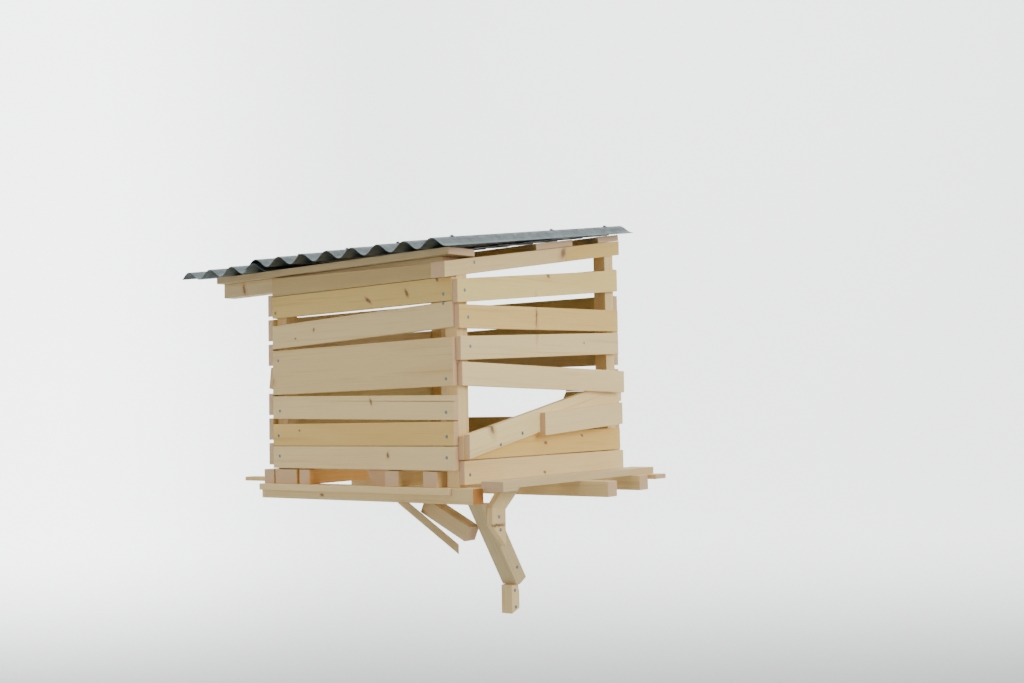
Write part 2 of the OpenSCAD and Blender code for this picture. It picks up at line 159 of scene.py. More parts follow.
timber = {
    "early": (0.80, 0.605, 0.262),
    "late": (0.56, 0.36, 0.120),
    "honey": (0.68, 0.455, 0.160),        # resin-rich stretches
    "knotHeart": (0.10, 0.045, 0.022),
    "knotRim": (0.30, 0.165, 0.072),
    "halo": (0.60, 0.36, 0.15),
    "endGrain": (0.64, 0.42, 0.25),
    "endRings": (0.42, 0.24, 0.13),
    "resinEnd": (0.50, 0.165, 0.010),     # a sawn end soaked with resin
    "resinRings": (0.36, 0.10, 0.006),
    "grime": (0.40, 0.27, 0.15),
    "fibreTones": ((0.87, 0.86, 0.83), (1.09, 1.09, 1.09)),
    # lengths in metres, angles in degrees
    "ringPeriod": 0.0034,                 # one year's growth
    "ringSwells": ((16.0, 0.016), (85.0, 0.0030)),    # scale and height of the rings' wobbles
    "pith": (0.02, 0.03),                 # the log's heart, across the board
    "pithSpread": (0.09, 0.07),           # how far it moves from board to board
    "pithTilt": 2.2,                      # how far it runs off the board
    "pithStretch": 0.10,                  # the rings change slowly along the board
    "knotDepth": 0.03,
    "knotJitter": (0.008, 0.004, 0.006),
    "rubbed": 0.0022,                     # width of a darkened arris
    "bevel": 0.0009,                      # rounding of an arris
    # scales of the patterns along and across the grain
    "fibres": (14.0, 900.0, 900.0),
    "streaks": (2.6, 120.0, 120.0),
    "patches": (1.8, 14.0, 14.0),
    "sawMarks": (620.0, 18.0, 18.0),
    "knotRagged": 110.0,
    "knotCells": 8.0,
    "rubbing": 60.0,
}


def boardNumber(tree):
    # the random number that the modifier stored for this board
    board = tree.nodes.new("ShaderNodeAttribute")
    board.attribute_type = "GEOMETRY"
    board.attribute_name = "boardRandom"
    return board.outputs["Fac"]


def boardRandom(tree, factor):
    # another one, made from it
    return calc(tree, "FRACT", calc(tree, "MULTIPLY", boardNumber(tree), factor))


def sawnPlace(tree, along, seed):
    # each board was sawn from another place in the log
    shift = tree.nodes.new("ShaderNodeCombineXYZ")
    setInput(tree, shift, 0, calc(tree, "MULTIPLY", boardNumber(tree), 7.3 + seed))
    across = zip((1, 2), (31.7, 77.1), timber["pithSpread"], timber["pith"])
    for axis, factor, spread, heart in across:
        setInput(tree, shift, axis, calc(tree, "MULTIPLY_ADD", boardRandom(tree, factor), spread, heart))
    return vecCalc(tree, "ADD", along, shift.outputs[0])


def knotPattern(tree, along, placed, turn, knots, strayKnots):
    # returns how far the grain swings and how much of a knot there is
    ragged = noise(tree, along, timber["knotRagged"], 2.0, output="Color")
    jitter = vecCalc(tree, "SUBTRACT", ragged, (0.5, 0.5, 0.5))
    jitter = vecCalc(tree, "MULTIPLY", jitter, timber["knotJitter"])
    knotCoords = vecCalc(tree, "ADD", along, jitter)
    swings, bodies = [], []
    for u, v, w, halfLength, halfWidth, angle in knots:
        size = (halfLength / 1000, timber["knotDepth"], halfWidth / 1000)
        spike = mapped(tree, knotCoords, (0, math.radians(-angle), 0), size,
                       turn.to_matrix() @ hutPoint(u, v, w), "TEXTURE")
        away = vecCalc(tree, "LENGTH", spike)
        swings.append(remap(tree, away, 0.0, 3.4, 0.0014 * halfWidth, 0.0))
        bodies.append(remap(tree, away, 0.35, 1.30, 1.0, 0.0))

    # a few stray ones of other sizes
    cells = vecCalc(tree, "MULTIPLY", vecCalc(tree, "ADD", placed, jitter), (0.5, 1.0, 1.0))
    distance, drawn = cellPattern(tree, cells, timber["knotCells"])
    isKnot = calc(tree, "LESS_THAN", drawn[0], strayKnots)
    away = calc(tree, "DIVIDE", distance, calc(tree, "MULTIPLY_ADD", drawn[1], 0.035, 0.018))
    swings.append(calc(tree, "MULTIPLY", remap(tree, away, 0.0, 4.0, 0.007, 0.0), isKnot))
    bodies.append(calc(tree, "MULTIPLY", remap(tree, away, 0.5, 1.1, 0.8, 0.0), isKnot))

    swing, body = swings[0], bodies[0]
    for otherSwing, otherBody in zip(swings[1:], bodies[1:]):
        swing = calc(tree, "ADD", swing, otherSwing)
        body = calc(tree, "MAXIMUM", body, otherBody)
    return swing, body


def yearRings(tree, placed, swing):
    # round the log's heart, which runs a little askew; returns the dark late wood
    tilt = timber["pithTilt"]
    askew = (0, math.radians(tilt * 0.6), math.radians(tilt))
    tilted = mapped(tree, placed, askew, (timber["pithStretch"], 1.0, 1.0))
    wobble = swing
    for scale, height in timber["ringSwells"]:
        wobble = calc(tree, "MULTIPLY_ADD", noise(tree, tilted, scale, 2.0), height, wobble)
    parts = tree.nodes.new("ShaderNodeSeparateXYZ")
    setInput(tree, parts, 0, tilted)
    squares = [calc(tree, "POWER", parts.outputs[axis], 2.0) for axis in (1, 2)]
    radius = calc(tree, "SQRT", calc(tree, "ADD", *squares))
    rings = calc(tree, "DIVIDE", calc(tree, "ADD", radius, wobble), timber["ringPeriod"])
    rings = calc(tree, "FRACT", rings)
    # pale early wood, then a thin dark edge that fades out quickly
    return calc(tree, "MULTIPLY", calc(tree, "POWER", rings, 8.0), remap(tree, rings, 0.86, 1.0, 1.3, 0.0))


def tintedBoard(tree, colour):
    # boards differ a little in hue, depth of colour and brightness
    tint = tree.nodes.new("ShaderNodeHueSaturation")
    setInput(tree, tint, "Color", colour)
    for key, factor, low, high in (("Hue", 13.3, 0.494, 0.506), ("Saturation", 5.9, 0.90, 1.12),
                                   ("Value", 23.9, 0.90, 1.07)):
        setInput(tree, tint, key, remap(tree, boardRandom(tree, factor), 0.0, 1.0, low, high, False))
    return tint.outputs[0]


def rubbedEdges(tree, placed, geometry):
    # how much an arris has darkened from handling
    soft = tree.nodes.new("ShaderNodeBevel")
    soft.samples = 4
    soft.inputs["Radius"].default_value = timber["rubbed"]
    turned = vecCalc(tree, "DOT_PRODUCT", soft.outputs[0], geometry.outputs["Normal"])
    edge = remap(tree, turned, 0.80, 0.995, 1.0, 0.0)
    patchy = remap(tree, noise(tree, placed, timber["rubbing"]), 0.38, 0.66, 0.05, 0.40)
    return calc(tree, "MULTIPLY", edge, patchy)


def makeTimber(name, grain, toneAndShade, contrast=0.55, knots=(), strayKnots=0.12, streaks=0.5, seed=0,
               ends=("endGrain", "endRings")):
    # grain is the way the boards run; a knot is (u, v, w, half length, half width in mm, turn in degrees)
    mat, tree, shader = newMaterial(name)
    grain = Vector(grain).normalized()
    coords = tree.nodes.new("ShaderNodeTexCoord").outputs["Object"]
    geometry = tree.nodes.new("ShaderNodeNewGeometry")
    turn = grain.rotation_difference(Vector((1, 0, 0))).to_euler()
    along = mapped(tree, coords, turn)
    placed = sawnPlace(tree, along, seed)
    swing, knotBody = knotPattern(tree, along, placed, turn, knots, strayKnots)
    lateWood = yearRings(tree, placed, swing)
    fibre = noise(tree, placed, timber["fibres"], 4.0, 0.6)
    streak = noise(tree, placed, timber["streaks"], 4.0, 0.6)
    patch = noise(tree, placed, timber["patches"])

    # the tone darkens and cools copies in shade (painted shade) and brightens lit copies (painted light),
    # besides the boards' own differences
    early, late, honey = (opaque(timber[key], toneAndShade) for key in ("early", "late", "honey"))
    strength = remap(tree, patch, 0.3, 0.7, contrast * 0.45, contrast)
    colour = blend(tree, calc(tree, "MULTIPLY", lateWood, strength), early, late)
    colour = blend(tree, remap(tree, patch, 0.42, 0.78, 0.0, 0.42), colour, honey)
    colour = blend(tree, remap(tree, streak, 0.50, 0.76, 0.0, streaks), colour, late)
    darker, lighter = (opaque(shade) for shade in timber["fibreTones"])
    colour = blend(tree, 1.0, colour, blend(tree, fibre, darker, lighter), "MULTIPLY")
    colour = tintedBoard(tree, colour)

    # knots: an orange halo, a brown rim and a dark heart
    colour = blend(tree, remap(tree, swing, 0.0008, 0.012, 0.0, 0.5), colour, opaque(timber["halo"]))
    colour = blend(tree, calc(tree, "MULTIPLY", knotBody, 0.85), colour, opaque(timber["knotRim"]))
    heart = calc(tree, "POWER", knotBody, 3.0)
    heart = calc(tree, "MULTIPLY", heart, remap(tree, fibre, 0.3, 0.7, 0.2, 0.7))
    colour = blend(tree, heart, colour, opaque(timber["knotHeart"]))

    # sawn ends are darker and redder
    facing = vecCalc(tree, "DOT_PRODUCT", geometry.outputs["True Normal"], tuple(grain))
    isEnd = remap(tree, calc(tree, "ABSOLUTE", facing), 0.70, 0.86)
    endColour = blend(tree, lateWood, opaque(timber[ends[0]]), opaque(timber[ends[1]]))
    colour = blend(tree, calc(tree, "MULTIPLY", isEnd, 0.85), colour, endColour)

    colour = blend(tree, rubbedEdges(tree, placed, geometry), colour, opaque(timber["grime"]))
    setInput(tree, shader, "Base Color", colour)
    rough = calc(tree, "MULTIPLY_ADD", fibre, 0.18, 0.52)
    rough = calc(tree, "SUBTRACT", rough, calc(tree, "MULTIPLY", knotBody, 0.14))
    setInput(tree, shader, "Roughness", rough)
    shader.inputs["Specular IOR Level"].default_value = 0.30
    shader.inputs["Sheen Weight"].default_value = 0.04
    shader.inputs["Sheen Roughness"].default_value = 0.45

    # relief of the fibres, the late wood and faint saw marks across the board
    saw = noise(tree, placed, timber["sawMarks"], 2.0)
    height = calc(tree, "MULTIPLY_ADD", fibre, 0.6, calc(tree, "MULTIPLY", lateWood, 0.35))
    height = calc(tree, "MULTIPLY_ADD", saw, 0.30, height)
    bump = bumpNormal(tree, height, 0.32, 0.0006)
    setInput(tree, bump, "Normal", geometry.outputs["True Normal"])    # sawn faces are flat
    setInput(tree, shader, "Normal", bump.outputs["Normal"])
    return mat


# the boards' own meshes stay as they are; these are modifiers

def makeBoardNumbers():
    # gives every board of a node one random number, which its wood reads
    group = bpy.data.node_groups.new("boardNumbers", "GeometryNodeTree")
    group.interface.new_socket("Geometry", in_out="INPUT", socket_type="NodeSocketGeometry")
    group.interface.new_socket("Geometry", in_out="OUTPUT", socket_type="NodeSocketGeometry")
    start = group.nodes.new("NodeGroupInput")
    end = group.nodes.new("NodeGroupOutput")
    islands = group.nodes.new("GeometryNodeInputMeshIsland")
    draw = group.nodes.new("FunctionNodeRandomValue")
    draw.data_type = "FLOAT"
    store = group.nodes.new("GeometryNodeStoreNamedAttribute")
    store.data_type = "FLOAT"
    store.domain = "POINT"
    store.inputs["Name"].default_value = "boardRandom"
    drawn = next(socket for socket in draw.outputs if socket.type == "VALUE")
    value = next(socket for socket in store.inputs if socket.type == "VALUE")
    group.links.new(islands.outputs["Island Index"], draw.inputs["ID"])
    group.links.new(start.outputs[0], store.inputs["Geometry"])
    group.links.new(drawn, value)
    group.links.new(store.outputs["Geometry"], end.inputs[0])
    return group


boardNumbers = makeBoardNumbers()


def wearEdges(obj):
    # a hair of rounding on each arris
    weld = obj.modifiers.new("weldCorners", "WELD")
    weld.merge_threshold = 0.00001
    numbering = obj.modifiers.new("numberBoards", "NODES")
    numbering.node_group = boardNumbers
    rounding = obj.modifiers.new("roundArris", "BEVEL")
    rounding.width = timber["bevel"]
    rounding.segments = 2
    rounding.limit_method = "ANGLE"
    rounding.angle_limit = math.radians(30)
    rounding.use_clamp_overlap = True


def dress(woods):
    for wood, look in woods.items():
        mat = makeTimber(wood, **{key: value for key, value in look.items() if key != "on"})
        for name in look["on"]:
            obj = nodes[name]
            obj.data.materials.clear()
            obj.data.materials.append(mat)
            wearEdges(obj)


# these tones paint light and shade: the boards on the lit right wall and the front boards below the eave's
# shadow are brightened; the taper, the left wall and the back boards are darker and cooler as painted shade
wallWoods = {
    "frontTopPine": dict(
        on=["front_boards_top"], grain=(1, 0, 0), toneAndShade=(1.0, 0.99, 0.96), strayKnots=0.04,
        knots=[(-251, 0, 390, 14, 5, -38), (-139, 0, 399, 12, 5, -55), (-55, 0, 421, 6, 4, -50),
               (-420, 0, 336, 6, 4, 80), (-480, 0, 320, 4, 3, 0), (-545, 0, 380, 4, 4, 0)]),
    "broadPine": dict(
        on=["front_board_broad"], grain=(1, 0, 0.012), toneAndShade=(0.96, 0.92, 0.84), contrast=0.6,
        streaks=0.7, strayKnots=0.0, seed=1.7, knots=[(-560, 0, 226, 8, 9, 0), (-330, 0, 172, 6, 3, -20)]),
    "splitPine": dict(
        on=["front_board_split"], grain=(1, 0, 0), toneAndShade=(1.07, 1.06, 1.03), strayKnots=0.04, seed=2.9,
        knots=[(-247, 0, 176, 9, 4, -65)]),
    # brightened: painted light below the eave's shadow
    "frontLowPineLit": dict(
        on=["front_boards_low"], grain=(1, 0, 0), toneAndShade=(1.10, 1.07, 1.05), strayKnots=0.03, seed=4.1,
        knots=[(-199, 0, 65, 7, 5, 90), (-470, 0, 118, 4, 3, 0)]),
    # darkened: painted shade under the eave plank
    "taperPineShaded": dict(
        on=["front_taper"], grain=(1, 0, 0), toneAndShade=(0.72, 0.66, 0.54), contrast=0.7, strayKnots=0.0,
        seed=5.3),
    # the right wall's boards, prop, slant and short board are brightened: painted light on the lit side
    "rightTopPineLit": dict(
        on=["right_boards_top"], grain=(0, 1, 0), toneAndShade=(1.09, 1.08, 1.08), strayKnots=0.04, seed=1.1,
        knots=[(0, 296, 442, 7, 5, -25), (0, 253, 349, 3, 24, 0), (0, 420, 300, 4, 3, 0)]),
    "rightLowPineLit": dict(
        on=["right_boards_low"], grain=(0, 1, 0.01), toneAndShade=(1.14, 1.09, 0.98), strayKnots=0.03, seed=2.3,
        knots=[(0, 276, 84, 8, 4, -20), (0, 405, 96, 6, 4, -30), (0, 272, 21, 5, 4, 0)]),
    "propPineLit": dict(
        on=["right_prop"], grain=(0.06, 1, -0.03), toneAndShade=(1.16, 1.15, 1.15), contrast=0.4, streaks=0.3,
        strayKnots=0.03, seed=3.7),
    "slantPineLit": dict(
        on=["right_slant"], grain=(0, 1, 0.218), toneAndShade=(1.18, 1.20, 1.15), strayKnots=0.03, seed=4.9,
        knots=[(14, 84, 118, 6, 12, 10), (14, 237, 103, 6, 4, 0)]),
    "shortPineLit": dict(
        on=["right_short"], grain=(0, 1, 0.07), toneAndShade=(1.12, 1.10, 1.10), strayKnots=0.0, seed=6.1),
    # darker and cooler: painted shade on the wall turned away from the light
    "leftPineShaded": dict(
        on=["left_boards"], grain=(0, 1, 0.06), toneAndShade=(0.86, 0.88, 0.96), strayKnots=0.18, seed=7.3),
    # darker and cooler: painted shade inside the hut
    "backPineShaded": dict(
        on=["back_boards_top", "back_boards_low"], grain=(1, 0, 0), toneAndShade=(0.78, 0.82, 0.92),
        strayKnots=0.18, seed=8.5),
    "packingPine": dict(
        on=["packing"], grain=(0, 1, 0), toneAndShade=(0.84, 0.76, 0.64), strayKnots=0.0, seed=9.1),
}
dress(wallWoods)
print("wall boards dressed")

frameWoods = {
    "postPine": dict(
        on=["post_near", "post_left", "post_back", "post_far"], grain=(0, 0, 1), toneAndShade=(1.05, 1.0, 0.95),
        contrast=0.45, strayKnots=0.08, seed=1.3),
    "frontJoistPine": dict(
        on=["joist_front"], grain=(1, 0, 0), toneAndShade=(0.98, 0.95, 0.90), strayKnots=0.0, seed=2.1,
        knots=[(-400, 0, -22, 7, 4, 0)], ends=("resinEnd", "resinRings")),
    "joistLathPine": dict(
        on=["joist_lath"], grain=(1, 0, 0), toneAndShade=(1.05, 1.03, 1.0), strayKnots=0.0, seed=3.3),
    "joistPine": dict(
        on=["joist_middle", "joist_back"], grain=(1, 0, 0), toneAndShade=(0.96, 0.90, 0.82), seed=2.7),
    # deep orange: partly the pine's own colour, partly painted warm light on the bearer's lit side
    "orangeLitBearerPine": dict(
        on=["bearer_left"], grain=(0, 1, 0.017), toneAndShade=(1.16, 0.78, 0.34), streaks=0.8, strayKnots=0.0,
        seed=2.9),
    "bearerPine": dict(
        on=["bearer_outer", "bearer_middle", "bearer_stub", "bearer_right"], grain=(0, 1, 0.017),
        toneAndShade=(1.04, 0.96, 0.84), strayKnots=0.1, seed=3.9),
    # darker and cooler: painted shade on the floor inside the hut
    "floorPineShaded": dict(
        on=["floor_front", "floor_back"], grain=(1, 0, 0), toneAndShade=(0.84, 0.84, 0.88), strayKnots=0.2,
        seed=4.7),
    # darker and cooler: painted shade on the edge plank and its shim
    "edgePineShaded": dict(
        on=["edge_plank", "edge_shim"], grain=(0, 1, 0.017), toneAndShade=(0.82, 0.80, 0.83), contrast=0.45,
        streaks=0.3, strayKnots=0.08, seed=5.5),
    "lathPine": dict(
        on=["lath_left", "lath_back"], grain=(1, 0, 0), toneAndShade=(0.98, 0.90, 0.80), strayKnots=0.0, seed=6.3),
    # darker and cooler: painted shade on the plate under the eave
    "platePineShaded": dict(
        on=["plate_front"], grain=(1, 0, 0.016), toneAndShade=(0.78, 0.79, 0.84), strayKnots=0.1, seed=7.1,
        knots=[(-668, 14, 442, 5, 14, 15)]),
    "rafterPine": dict(
        on=["rafter_right", "rafter_left"], grain=(0, 1, 0.146), toneAndShade=(1.0, 0.97, 0.90), strayKnots=0.1,
        seed=7.9, knots=[(-14, 368, 498, 14, 9, 50)]),
    # darker and cooler: painted shade on the eave planks under the roof
    "eavePineShaded": dict(
        on=["eave_plank_front", "eave_plank_back"], grain=(1, 0, 0.016), toneAndShade=(0.72, 0.72, 0.78),
        strayKnots=0.1, seed=8.7),
}
dress(frameWoods)
print("frame timber dressed")

# the long, thin and thick braces are darker and cooler: painted shade under the platform
braceWoods = {
    "longBracePineShaded": dict(
        on=["brace_long"], grain=(0, 0.53, -0.85), toneAndShade=(0.74, 0.75, 0.79), strayKnots=0.06, seed=1.9),
    "postBracePine": dict(
        on=["brace_post", "cleat"], grain=(0, 0, 1), toneAndShade=(1.0, 0.96, 0.90), strayKnots=0.0, seed=1.4,
        knots=[(48, 58, -75, 4, 4, 0)]),
    "kickPine": dict(
        on=["brace_kick"], grain=(0, 0.62, 0.78), toneAndShade=(0.90, 0.88, 0.86), strayKnots=0.0, seed=3.5),
    "thinBracePineShaded": dict(
        on=["brace_thin"], grain=(0.56, 0.50, -0.66), toneAndShade=(0.80, 0.77, 0.76), strayKnots=0.0, seed=4.3),
    "thickBracePineShaded": dict(
        on=["brace_thick"], grain=(0.906, 0, -0.423), toneAndShade=(0.80, 0.76, 0.76), strayKnots=0.06, seed=5.1),
}
dress(braceWoods)
print("braces dressed")


# corrugated roof

sheetLook = {
    "zinc": (0.098, 0.130, 0.138),
    "dull": (0.048, 0.066, 0.070),
    "bright": (0.21, 0.255, 0.27),
    "grime": (0.075, 0.08, 0.055),
    "spangle": 0.01078,              # width of a zinc crystal, in metres
    "clouds": 9.0,                   # scales of the stains
    "streaks": (34.0, 3.0, 3.0),
    "runs": (170.0, 2.4, 60.0),      # where water ran down the fall
    "metallic": 0.70,
}


def makeGalvanised(name, look):
    mat, tree, shader = newMaterial(name)
    dull, bright, zinc, grime = (opaque(look[key]) for key in ("dull", "bright", "zinc", "grime"))
    coords = tree.nodes.new("ShaderNodeTexCoord").outputs["Object"]
    drawn = cellPattern(tree, coords, 1 / look["spangle"])[1]
    cloud = noise(tree, coords, look["clouds"], 5.0, 0.6)
    streak = noise(tree, coords, look["streaks"], 4.0)
    runs = noise(tree, coords, look["runs"], 4.0, 0.6)
    colour = blend(tree, calc(tree, "MULTIPLY_ADD", drawn[0], 0.35, 0.20), dull, bright)
    colour = blend(tree, remap(tree, cloud, 0.35, 0.70, 0.15, 0.75), colour, zinc)
    colour = blend(tree, remap(tree, streak, 0.52, 0.78, 0.0, 0.40), colour, grime)
    colour = blend(tree, remap(tree, runs, 0.50, 0.72, 0.0, 0.55), colour, dull)
    setInput(tree, shader, "Base Color", colour)
    shader.inputs["Metallic"].default_value = look["metallic"]
    rough = calc(tree, "MULTIPLY_ADD", drawn[1], 0.16, 0.36)
    setInput(tree, shader, "Roughness", calc(tree, "MULTIPLY_ADD", cloud, 0.18, rough))
    height = calc(tree, "MULTIPLY_ADD", cloud, 0.8, calc(tree, "MULTIPLY", drawn[2], 0.2))
    setInput(tree, shader, "Normal", bumpNormal(tree, height, 0.20, 0.0005).outputs["Normal"])
    return mat


roofSheet = nodes["roof_sheet"]
roofSheet.data.materials.clear()
roofSheet.data.materials.append(makeGalvanised("galvanisedSheet", sheetLook))
print("roof sheet dressed")


# screws; sizes in mm

screw = {
    "head": 3.7,          # radius of the head
    "high": 2.0,          # the head's body, mostly in the wood
    "rim": (0.5, 0.3),    # width and height of the sloping rim
    "proud": 0.3,         # how far it stands out of the wood
    "recess": 1.2,        # radius of the driver's recess
    "depth": 1.4,
    "wall": 0.3,          # slope of the recess
    "star": (1.25, 0.62),    # how far its points and hollows reach
    "lean": 0.05,         # no screw is driven quite straight, in radians
    "zinc": ((0.11, 0.15, 0.17), (0.24, 0.29, 0.31)),
    "mottle": 420.0,
    "metallic": 0.9,
}


def makeZinc(name):
    mat, tree, shader = newMaterial(name)
    coords = tree.nodes.new("ShaderNodeTexCoord").outputs["Object"]
    mottle = noise(tree, coords, screw["mottle"])
    darker, lighter = (opaque(shade) for shade in screw["zinc"])
    setInput(tree, shader, "Base Color", blend(tree, mottle, darker, lighter))
    shader.inputs["Metallic"].default_value = screw["metallic"]
    setInput(tree, shader, "Roughness", calc(tree, "MULTIPLY_ADD", mottle, 0.2, 0.26))
    return mat


def makeScrewHead():
    # a countersunk head: sloping rim, flat top, cross recess pushed in
    deselectAll()
    rimWide, rimHigh = screw["rim"]
    bpy.ops.mesh.primitive_cylinder_add(
        vertices=16, radius=screw["head"] / 1000, depth=screw["high"] / 1000, location=(0, 0, 0))
    head = bpy.context.object
    bpy.ops.object.mode_set(mode="EDIT")
    bpy.ops.mesh.select_mode(type="FACE")
    bpy.ops.mesh.select_all(action="DESELECT")
    bpy.ops.object.mode_set(mode="OBJECT")
    for face in head.data.polygons:
        face.select = face.normal.z > 0.9
    bpy.ops.object.mode_set(mode="EDIT")
    bpy.ops.mesh.inset(thickness=rimWide / 1000, depth=rimHigh / 1000)
    bpy.ops.mesh.inset(thickness=(screw["head"] - rimWide - screw["recess"]) / 1000, depth=0)
    bpy.ops.mesh.inset(thickness=screw["wall"] / 1000, depth=-screw["depth"] / 1000)
    bpy.ops.mesh.select_all(action="SELECT")
    bpy.ops.mesh.normals_make_consistent(inside=False)
    bpy.ops.object.mode_set(mode="OBJECT")
    # the recess becomes a four-pointed star
    for vertex in head.data.vertices:
        flat = Vector((vertex.co.x, vertex.co.y))
        if 0.0001 < flat.length < (screw["recess"] + 0.1) / 1000:    # not the middle, nor the rim
            angle = math.atan2(flat.y, flat.x)
            point, hollow = screw["star"]
            reach = point if abs(math.sin(2 * angle)) < 0.3 else hollow
            vertex.co.x *= reach
            vertex.co.y *= reach
    return head


def placeScrews(name, template, places, seed):
    # places: (point on the face, outward direction)
    rng = random.Random(seed)
    copies = []
    sink = (screw["proud"] - screw["high"] / 2 - screw["rim"][1]) / 1000
    tip = screw["lean"]
    for point, outward in places:
        copy = template.copy()
        copy.data = template.data.copy()
        bpy.context.collection.objects.link(copy)
        spin = Matrix.Rotation(rng.uniform(0, math.pi), 4, "Z")
        lean = Euler((rng.uniform(-tip, tip), rng.uniform(-tip, tip), 0)).to_matrix().to_4x4()
        face = Vector(outward).to_track_quat("Z", "Y").to_matrix().to_4x4()
        seat = Matrix.Translation(Vector(point) + Vector(outward).normalized() * sink)
        copy.matrix_world = seat @ face @ lean @ spin
        copies.append(copy)
    deselectAll()
    for copy in copies:
        copy.select_set(True)
    bpy.context.view_layer.objects.active = copies[0]
    bpy.ops.object.join()
    piece = bpy.context.object
    piece.name = name
    bpy.ops.object.transform_apply(location=True, rotation=True, scale=True)
    bpy.ops.object.shade_smooth_by_angle(angle=math.radians(35))
    piece.data.materials.clear()
    piece.data.materials.append(zincCoat)
    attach(piece, "root")


zincCoat = makeZinc("zincPlating")
headModel = makeScrewHead()

frontOut, rightOut = (0, -1, 0), (1, 0, 0)
frontScrews = [    # (u, w) on the front wall
    (-37, 390), (-38, 372), (-538, 273), (-33, 219), (-34, 152), (-533, 161), (-33, 103), (-538, 106),
    (-34, 61), (-535, 61)]
rightScrews = [    # (u, v, w) on the rafter, then the right wall, the braces and the cleat
    (-14, 70, 457), (0, 24, 397), (0, 33, 343), (0, 38, 284), (0, 31, 238), (14, 182, 106),
    (14, 112, 84), (0, 31, 26), (48, 66, -84), (48, 62, -58), (34, 133, -165), (30, 130, -212),
    (30, 132, -246)]
frontPlaces = [(hutPoint(u, 0, w), frontOut) for u, w in frontScrews]
rightPlaces = [(hutPoint(u, v, w), rightOut) for u, v, w in rightScrews]
placeScrews("frontScrews", headModel, frontPlaces, 3)
placeScrews("rightScrews", headModel, rightPlaces, 5)
bpy.data.objects.remove(headModel)
print("screws placed")


roofScrew = {
    "rows": (14, 340, 538),    # over the eave and middle planks, mm back from the front
    "every": 2,                # crests per screw
    "span": (-800, 160),       # how far the crests are looked for, mm
    "pace": 2,
    "above": 900,              # over the whole roof, mm
    "washer": 6.0,             # radii and heights, mm
    "washerHigh": 1.0,
    "head": 3.6,
    "headHigh": 2.6,
    "rounding": 0.4,
    "lift": 0.4,               # how far the washer stands over the crest
    "tilt": (0, -0.146, 1),    # square to the roof's fall
}


def makeHexHead():
    # a self-drilling roof screw: six flats over a round washer
    deselectAll()
    washer, thick = roofScrew["washer"] / 1000, roofScrew["washerHigh"] / 1000
    bpy.ops.mesh.primitive_cylinder_add(vertices=24, radius=washer, depth=thick, location=(0, 0, thick / 2))
    plate = bpy.context.object
    flats, high = roofScrew["head"] / 1000, roofScrew["headHigh"] / 1000
    bpy.ops.mesh.primitive_cylinder_add(
        vertices=6, radius=flats, depth=high, location=(0, 0, thick + high / 2))
    plate.select_set(True)
    bpy.ops.object.join()
    head = bpy.context.object
    rounding = head.modifiers.new("softEdge", "BEVEL")
    rounding.width = roofScrew["rounding"] / 1000
    rounding.segments = 2
    bpy.ops.object.modifier_apply(modifier=rounding.name)
    bpy.ops.object.transform_apply(location=True, rotation=True, scale=True)
    return head


def sheetCrests(v):
    # heights of the sheet along one row, from above; its crests are the peaks
    heights = []
    first, last = roofScrew["span"]
    for step in range(first, last, roofScrew["pace"]):
        start = hutPoint(step, v, roofScrew["above"])
        hit, point = roofSheet.ray_cast(start, Vector((0, 0, -1)))[:2]
        heights.append((point.z if hit else -1, point))
    peaks = []
    for before, here, after in zip(heights, heights[1:], heights[2:]):
        if here[0] > before[0] and here[0] >= after[0] and here[0] > 0:
            peaks.append(here[1])
    return peaks


hexModel = makeHexHead()
lift = Vector((0, 0, roofScrew["lift"] / 1000))
roofPlaces = []
for row in roofScrew["rows"]:
    for peak in sheetCrests(row)[::-1][::roofScrew["every"]]:
        roofPlaces.append((peak + lift, roofScrew["tilt"]))
print("roof screws:", len(roofPlaces))
placeScrews("roofScrews", hexModel, roofPlaces, 7)
bpy.data.objects.remove(hexModel)


# studio: a pale floor that curves up into a wall, soft light, camera; metres

stage = {
    "floorHeight": -1.15,
    "floorSize": (24, 12),
    "wallBack": 5.2,
    "wallHigh": 9,
    "curveSteps": 10,
    "curvePace": 0.28,
    "reach": 7.7,                       # from the floor's middle to the wall
    "turn": math.radians(39.3),         # the sweep faces the camera
    "colour": (0.82, 0.83, 0.82),
    "floorShade": (0.58, 0.58, 0.58),   # the floor is a little deeper than the wall
    "shadeHigh": 0.9,
    "rough": 0.75,
    "glow": 2.2,                        # the wall is lit from within
    "glowColour": (0.97, 1.0, 1.0),
    "glowSide": (-2.6, -0.6, 1.9),      # more of it on the left: from, to, times
}


def makeStageMaterial(name):
    mat, tree, shader = newMaterial(name)
    coords = tree.nodes.new("ShaderNodeTexCoord").outputs["Object"]
    shader.inputs["Roughness"].default_value = stage["rough"]
    place = tree.nodes.new("ShaderNodeSeparateXYZ")
    setInput(tree, place, 0, coords)
    foot = stage["floorHeight"]
    rise = remap(tree, place.outputs[2], foot, foot + stage["shadeHigh"])
    floorColour = opaque(stage["colour"], stage["floorShade"])
    setInput(tree, shader, "Base Color", blend(tree, rise, floorColour, opaque(stage["colour"])))
    shader.inputs["Emission Color"].default_value = opaque(stage["glowColour"])
    across = (math.cos(stage["turn"]), math.sin(stage["turn"]), 0)
    sideways = vecCalc(tree, "DOT_PRODUCT", coords, across)
    first, last, times = stage["glowSide"]
    glow = remap(tree, sideways, first, last, stage["glow"] * times, stage["glow"])
    setInput(tree, shader, "Emission Strength", calc(tree, "MULTIPLY", rise, glow))
    return mat


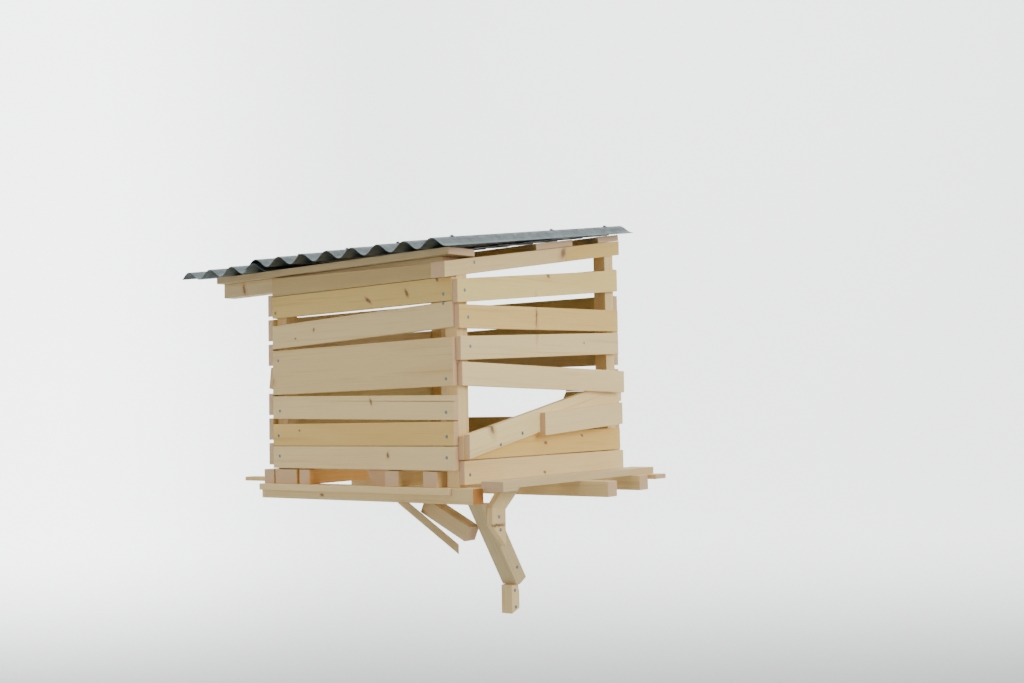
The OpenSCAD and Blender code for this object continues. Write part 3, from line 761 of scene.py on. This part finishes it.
def makeBackdrop(name):
    deselectAll()
    bpy.ops.mesh.primitive_plane_add(size=1, location=(0, 0, 0))
    backdrop = bpy.context.object
    backdrop.name = name
    wide, deep = stage["floorSize"]
    bpy.ops.object.mode_set(mode="EDIT")
    bpy.ops.mesh.select_all(action="SELECT")
    bpy.ops.transform.resize(value=(wide, deep, 1))
    bpy.ops.object.mode_set(mode="OBJECT")

    # the far edge is drawn out into the curve and the wall
    mesh = backdrop.data
    farEdge = deep / 2 - 0.1
    for vertex in mesh.vertices:
        vertex.select = vertex.co.y > farEdge
    for edge in mesh.edges:
        edge.select = all(mesh.vertices[i].co.y > farEdge for i in edge.vertices)
    for face in mesh.polygons:
        face.select = False
    bpy.ops.object.mode_set(mode="EDIT")
    bpy.ops.mesh.select_mode(type="EDGE")
    steps, pace = stage["curveSteps"], stage["curvePace"]
    for step in range(steps):
        angle = math.radians(90 / steps * (step + 0.5))
        move = (0, pace * math.cos(angle), pace * math.sin(angle))
        bpy.ops.mesh.extrude_region_move(TRANSFORM_OT_translate={"value": move})
    bpy.ops.mesh.extrude_region_move(TRANSFORM_OT_translate={"value": (0, 0, stage["wallHigh"])})
    bpy.ops.mesh.select_all(action="SELECT")
    bpy.ops.object.mode_set(mode="OBJECT")

    backdrop.rotation_euler = (0, 0, stage["turn"])
    behind = Matrix.Rotation(stage["turn"], 3, "Z") @ Vector((0, stage["wallBack"] - stage["reach"], 0))
    backdrop.location = behind + Vector((0, 0, stage["floorHeight"]))
    bpy.ops.object.transform_apply(location=True, rotation=True, scale=True)
    bpy.ops.object.shade_smooth()
    mesh.materials.append(makeStageMaterial("paleWallPaint"))


makeBackdrop("paleFloor")

air = {"colour": (0.93, 0.97, 1.0), "strength": 0.38}
world = bpy.data.worlds.new("studioAir")
bpy.context.scene.world = world
world.use_nodes = True
world.node_tree.nodes["Background"].inputs["Color"].default_value = opaque(air["colour"])
world.node_tree.nodes["Background"].inputs["Strength"].default_value = air["strength"]

middle = (-0.3, 0.15, 0.4)
softboxes = {    # place, target, size, power and colour
    "ceilingPanels": ((0.2, -0.4, 3.2), middle, (4.0, 3.0), 78, (1.0, 0.98, 0.95)),
    "windowSide": ((3.6, 0.4, 1.6), middle, (2.4, 2.0), 112, (1.0, 0.99, 0.97)),
    "frontFill": ((-0.8, -3.6, 0.8), middle, (2.4, 1.8), 34, (1.0, 0.97, 0.93)),
    "wallWash": ((-1.2, 3.2, 3.0), (-2.6, 5.0, 1.0), (4.0, 1.6), 60, (0.95, 0.98, 1.0)),
}


def addSoftbox(name, location, target, size, power, colour):
    light = bpy.data.lights.new(name, "AREA")
    light.shape = "RECTANGLE"
    light.size, light.size_y = size
    light.energy = power
    light.color = colour
    obj = bpy.data.objects.new(name, light)
    bpy.context.collection.objects.link(obj)
    obj.location = location
    obj.rotation_euler = (Vector(target) - Vector(location)).to_track_quat("-Z", "Y").to_euler()


for name, values in softboxes.items():
    addSoftbox(name, *values)

shot = {    # metres, degrees and mm
    "place": (1.939, -2.301, 0.380), "yaw": 39.69, "pitch": 2.77, "roll": -0.97,
    "lens": 51.3, "sensor": 36,
}


def turnMatrix(degrees, axis):
    return Matrix.Rotation(math.radians(degrees), 3, axis)


camData = bpy.data.cameras.new("galleryCamera")
camData.lens = shot["lens"]
camData.sensor_width = shot["sensor"]
camera = bpy.data.objects.new("galleryCamera", camData)
bpy.context.collection.objects.link(camera)
camera.location = shot["place"]
aim = turnMatrix(shot["yaw"], "Z") @ turnMatrix(90 + shot["pitch"], "X") @ turnMatrix(shot["roll"], "Z")
camera.rotation_euler = aim.to_euler()
bpy.context.scene.camera = camera
print("stage, lights and camera ready")
